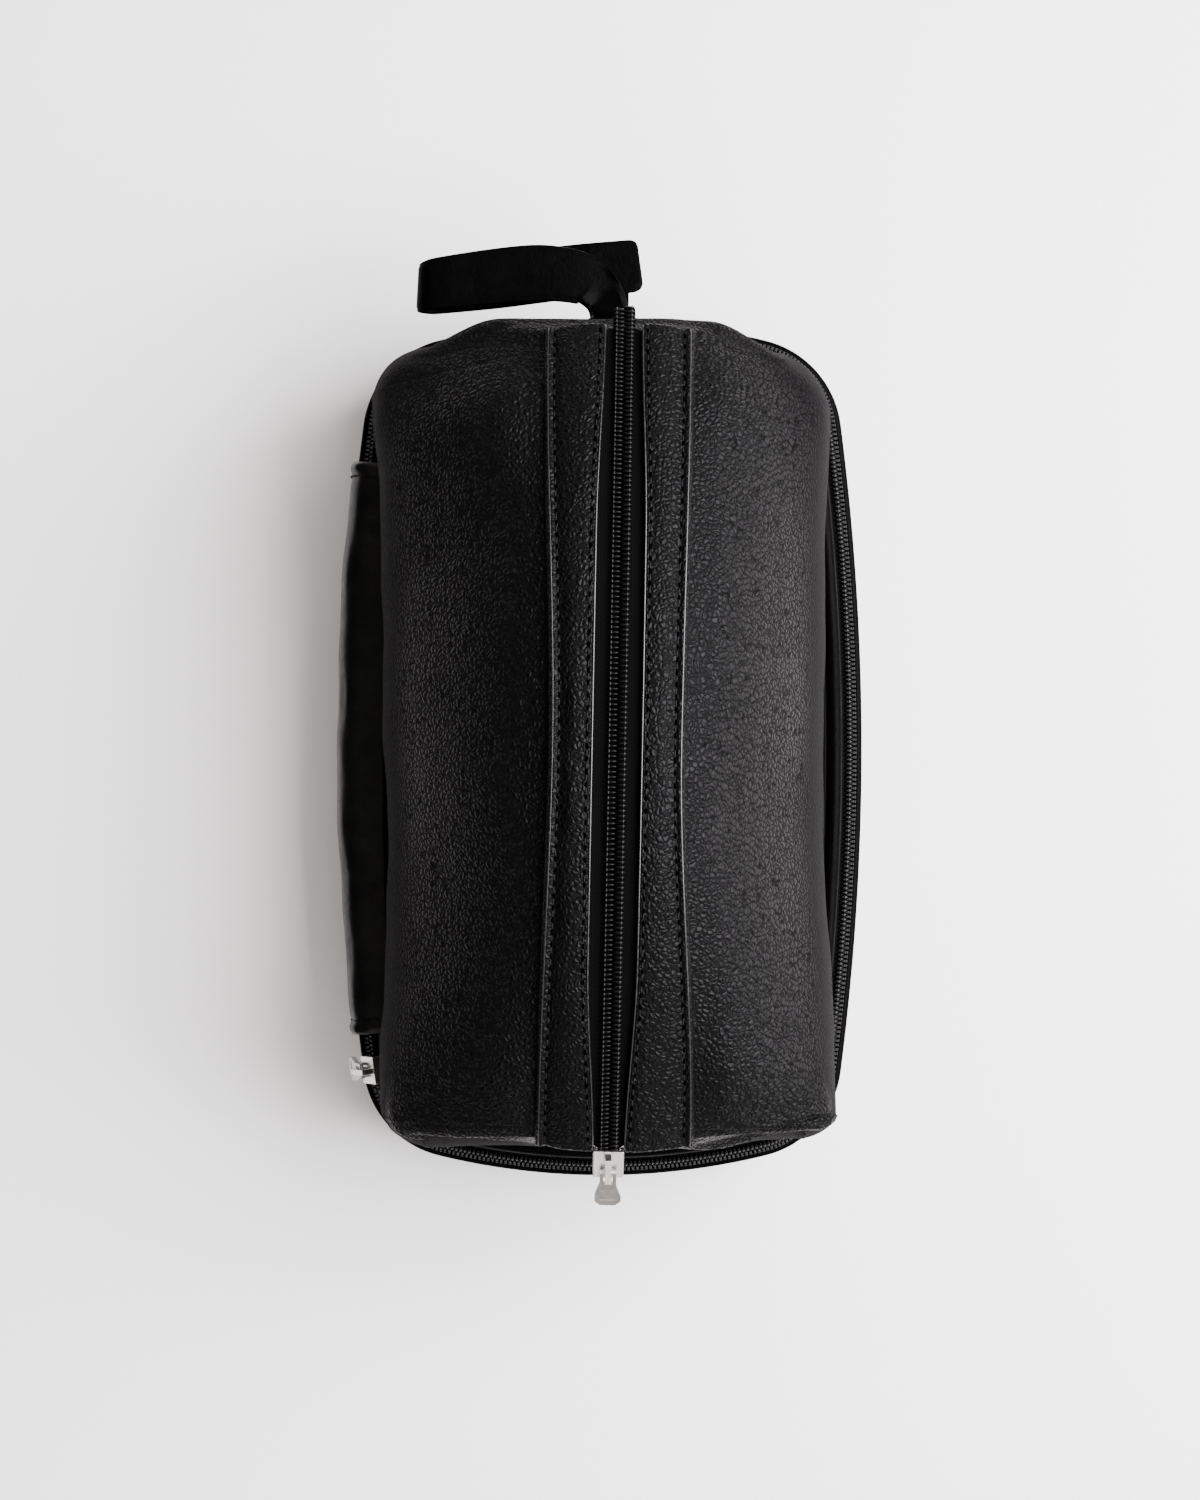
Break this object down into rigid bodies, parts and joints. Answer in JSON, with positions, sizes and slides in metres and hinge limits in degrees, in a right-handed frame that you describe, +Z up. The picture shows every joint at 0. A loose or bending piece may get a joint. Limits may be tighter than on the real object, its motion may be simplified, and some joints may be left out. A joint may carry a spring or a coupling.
{
  "type": "shaving kit bag",
  "caption": "Black leather drop-bottom wash bag: arched zip-top compartment hinged over a zipped lower tray, with an end carrying strap.",
  "frame": {"origin": "centre of the tray's flat underside, where the bag stands", "axes": "+Z up; +Y along the length, towards the carrying handle; the leather hinge is on the -X side"},
  "size_m": [0.1687, 0.2902, 0.1501],
  "materials": {
    "pebbled_leather": "pebbled black leather, satin",
    "smooth_leather": "smooth black leather, semi-gloss",
    "zip_tape": "woven black tape",
    "zip_coil": "black nylon coil",
    "lining": "dark grey woven lining",
    "board": "stiffening board",
    "metal": "satin nickel"
  },
  "bodies": {
    "tray": {"base_panel": "smooth_leather", "base_board": "board", "tray_band": "pebbled_leather", "tray_lining": "lining", "tray_welt": "smooth_leather", "tray_zip_tape": "zip_tape", "tray_zip_coil": "zip_coil", "tray_hinge_leaf": "smooth_leather", "zip_end_front_left": "zip_tape"},
    "upper_bag": {"left_panel": "pebbled_leather", "right_panel": "pebbled_leather", "upper_lining": "lining", "upper_welt": "smooth_leather", "upper_zip_tape": "zip_tape", "upper_zip_coil": "zip_coil", "divider_floor": "lining", "upper_hinge_leaf": "smooth_leather", "handle_neck": "smooth_leather", "front_zip_end": "zip_tape", "back_zip_end": "zip_tape", "front_facing_ends": "pebbled_leather", "back_facing_ends": "pebbled_leather"},
    "mouth_left": {"facing_left": "pebbled_leather", "top_tape_left": "zip_tape", "top_coil_left": "zip_coil"},
    "mouth_right": {"facing_right": "pebbled_leather", "top_tape_right": "zip_tape", "top_coil_right": "zip_coil"},
    "top_slider": {"top_slider": "metal"},
    "top_pull": {"top_pull": "metal"},
    "perimeter_slider": {"perimeter_slider": "metal"},
    "perimeter_pull": {"perimeter_pull": "metal"},
    "handle": {"handle_strap": "smooth_leather", "handle_tongue": "smooth_leather"}
  },
  "joints": [
    {"name": "upper_flip", "type": "hinge", "parent": "tray", "child": "upper_bag", "pos_m": [-0.0848, 0, 0.042], "axis": [0, -1, 0], "range_deg": [0, 115]},
    {"name": "mouth_left_spread", "type": "slide", "parent": "upper_bag", "child": "mouth_left", "axis": [-0.9998, 0.0192, 0], "range_m": [0, 0.018]},
    {"name": "mouth_right_spread", "type": "slide", "parent": "upper_bag", "child": "mouth_right", "axis": [0.9998, -0.0192, 0], "range_m": [0, 0.018]},
    {"name": "top_zip_run", "type": "hinge", "parent": "upper_bag", "child": "top_slider", "pos_m": [0.004, 0.002, -0.13], "axis": [-0.9998, 0.0192, 0], "range_deg": [0, 48]},
    {"name": "top_pull_swing", "type": "hinge", "parent": "top_slider", "child": "top_pull", "pos_m": [0.00163, -0.12151, 0.12484], "axis": [-0.9998, 0.0192, 0], "range_deg": [0, 140]},
    {"name": "tray_zip_run", "type": "hinge", "parent": "tray", "child": "perimeter_slider", "pos_m": [-0.04528, -0.10054, 0.042], "axis": [0, 0, 1], "range_deg": [0, 60]},
    {"name": "tray_pull_swing", "type": "hinge", "parent": "perimeter_slider", "child": "perimeter_pull", "pos_m": [-0.07706, -0.1035, 0.04299], "axis": [-0.1288, 0.9917, 0], "range_deg": [0, 110]},
    {"name": "handle_swing", "type": "hinge", "parent": "upper_bag", "child": "handle", "pos_m": [0.002, 0.1322, 0.085], "axis": [1, 0, 0], "range_deg": [-60, 85]}
  ],
  "couplings": [
    {"joint": "mouth_right_spread", "follows": "mouth_left_spread", "ratio": 1}
  ]
}
